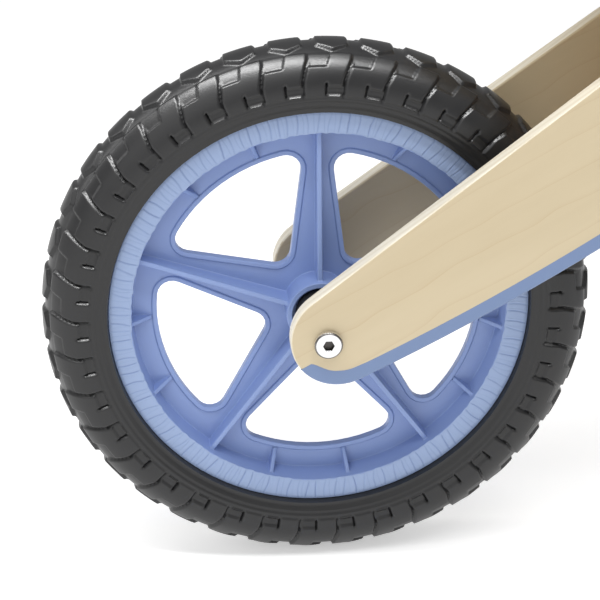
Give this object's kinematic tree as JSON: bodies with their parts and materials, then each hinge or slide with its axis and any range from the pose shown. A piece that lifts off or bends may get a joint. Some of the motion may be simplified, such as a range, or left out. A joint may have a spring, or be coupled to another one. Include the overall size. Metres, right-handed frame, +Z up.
{
  "type": "balance bike",
  "caption": "Child's wooden balance bike: plywood side-plate frame, plastic wheels with foam tyres, pivoting plywood fork, round handlebar and padded height-adjustable saddle.",
  "frame": {"origin": "on the floor midway between the two axles, at the bottom centre of the bounding box", "axes": "+X forward along the bike, +Y to the rider's left, +Z up"},
  "size_m": [0.818, 0.37, 0.5444],
  "materials": {
    "plywood": "clear-lacquered birch plywood",
    "beech": "clear-lacquered beech",
    "wheel_plastic": "moulded light blue plastic",
    "foam_tyre": "skinned black foam",
    "black_nylon": "black nylon",
    "white_nylon": "natural nylon",
    "steel": "nickel-plated steel",
    "grip_rubber": "ribbed black rubber",
    "saddle_cover": "grained imitation leather"
  },
  "bodies": {
    "frame": {"frame_plate_right": "plywood", "frame_plate_left": "plywood", "head_block": "beech", "head_bolts": "steel", "head_bush_lower": "black_nylon", "head_bush_upper": "black_nylon", "rear_brace": "beech", "front_brace": "beech", "brace_bolts": "steel", "seat_cheek_right": "beech", "seat_cheek_left": "beech", "seat_clamp_tubes": "steel", "seat_clamp_bolts": "steel", "rear_axle_tube": "steel", "rear_axle_bolts": "steel", "rear_spacer_right": "black_nylon", "rear_spacer_left": "black_nylon"},
    "rear_wheel": {"rear_rim": "wheel_plastic", "rear_tyre": "foam_tyre", "rear_bush_right": "white_nylon", "rear_bush_left": "white_nylon"},
    "fork": {"fork_plate_right": "plywood", "fork_plate_left": "plywood", "lower_crown": "beech", "upper_crown": "beech", "crown_bolts": "steel", "steering_bolt": "steel", "steering_washer": "steel", "steering_nut": "steel", "front_axle_tube": "steel", "front_axle_bolts": "steel", "front_spacer_right": "black_nylon", "front_spacer_left": "black_nylon", "handlebar": "beech", "bar_pins": "steel", "grip_right": "grip_rubber", "grip_left": "grip_rubber"},
    "front_wheel": {"front_rim": "wheel_plastic", "front_tyre": "foam_tyre", "front_bush_right": "white_nylon", "front_bush_left": "white_nylon"},
    "saddle": {"seat_post": "beech", "saddle_board": "plywood", "saddle_screws": "steel", "saddle_cushion": "saddle_cover"}
  },
  "joints": [
    {"name": "rear_wheel_spin", "type": "hinge", "parent": "frame", "child": "rear_wheel", "pos_m": [-0.265, 0, 0.144], "axis": [0, 1, 0], "continuous": true},
    {"name": "steering", "type": "hinge", "parent": "frame", "child": "fork", "pos_m": [0.265, 0, 0.144], "axis": [-0.309, 0, 0.9511], "range_deg": [-27, 27]},
    {"name": "front_wheel_spin", "type": "hinge", "parent": "fork", "child": "front_wheel", "pos_m": [0.265, 0, 0.144], "axis": [0, 1, 0], "continuous": true},
    {"name": "seat_height", "type": "slide", "parent": "frame", "child": "saddle", "axis": [0, 0, 1], "range_m": [0, 0.03]}
  ]
}
